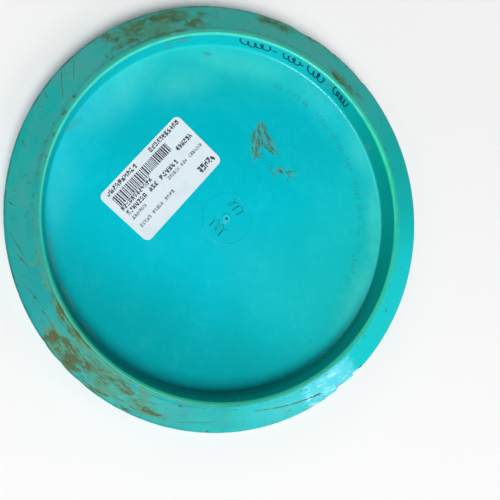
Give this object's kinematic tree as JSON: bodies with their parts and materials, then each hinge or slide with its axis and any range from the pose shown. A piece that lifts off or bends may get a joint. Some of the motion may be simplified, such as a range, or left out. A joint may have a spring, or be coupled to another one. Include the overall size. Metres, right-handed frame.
{
  "type": "golf disc",
  "caption": "Moulded plastic golf disc, lying underside up: a domed flight plate, a deep rim with a narrow nose to grip and throw by, and a paper price label inside.",
  "frame": {"origin": "middle of the flat at the top of the dome, which is the disc's lowest point as it lies here underside up", "axes": "+Z along the disc's axis, out of the open underside; a disc in flight has this axis pointing down. +Y and +X lie in the plate, and the label's centre is on the -X +Y side"},
  "size_m": [0.2116, 0.2116, 0.0162],
  "materials": {
    "disc_plastic": "semi-gloss turquoise moulded plastic, scuffed and dirty at the rim",
    "label_paper": "satin coated white paper with thermal print"
  },
  "bodies": {
    "root": {"disc_body": "disc_plastic", "price_label": "label_paper"}
  },
  "joints": []
}
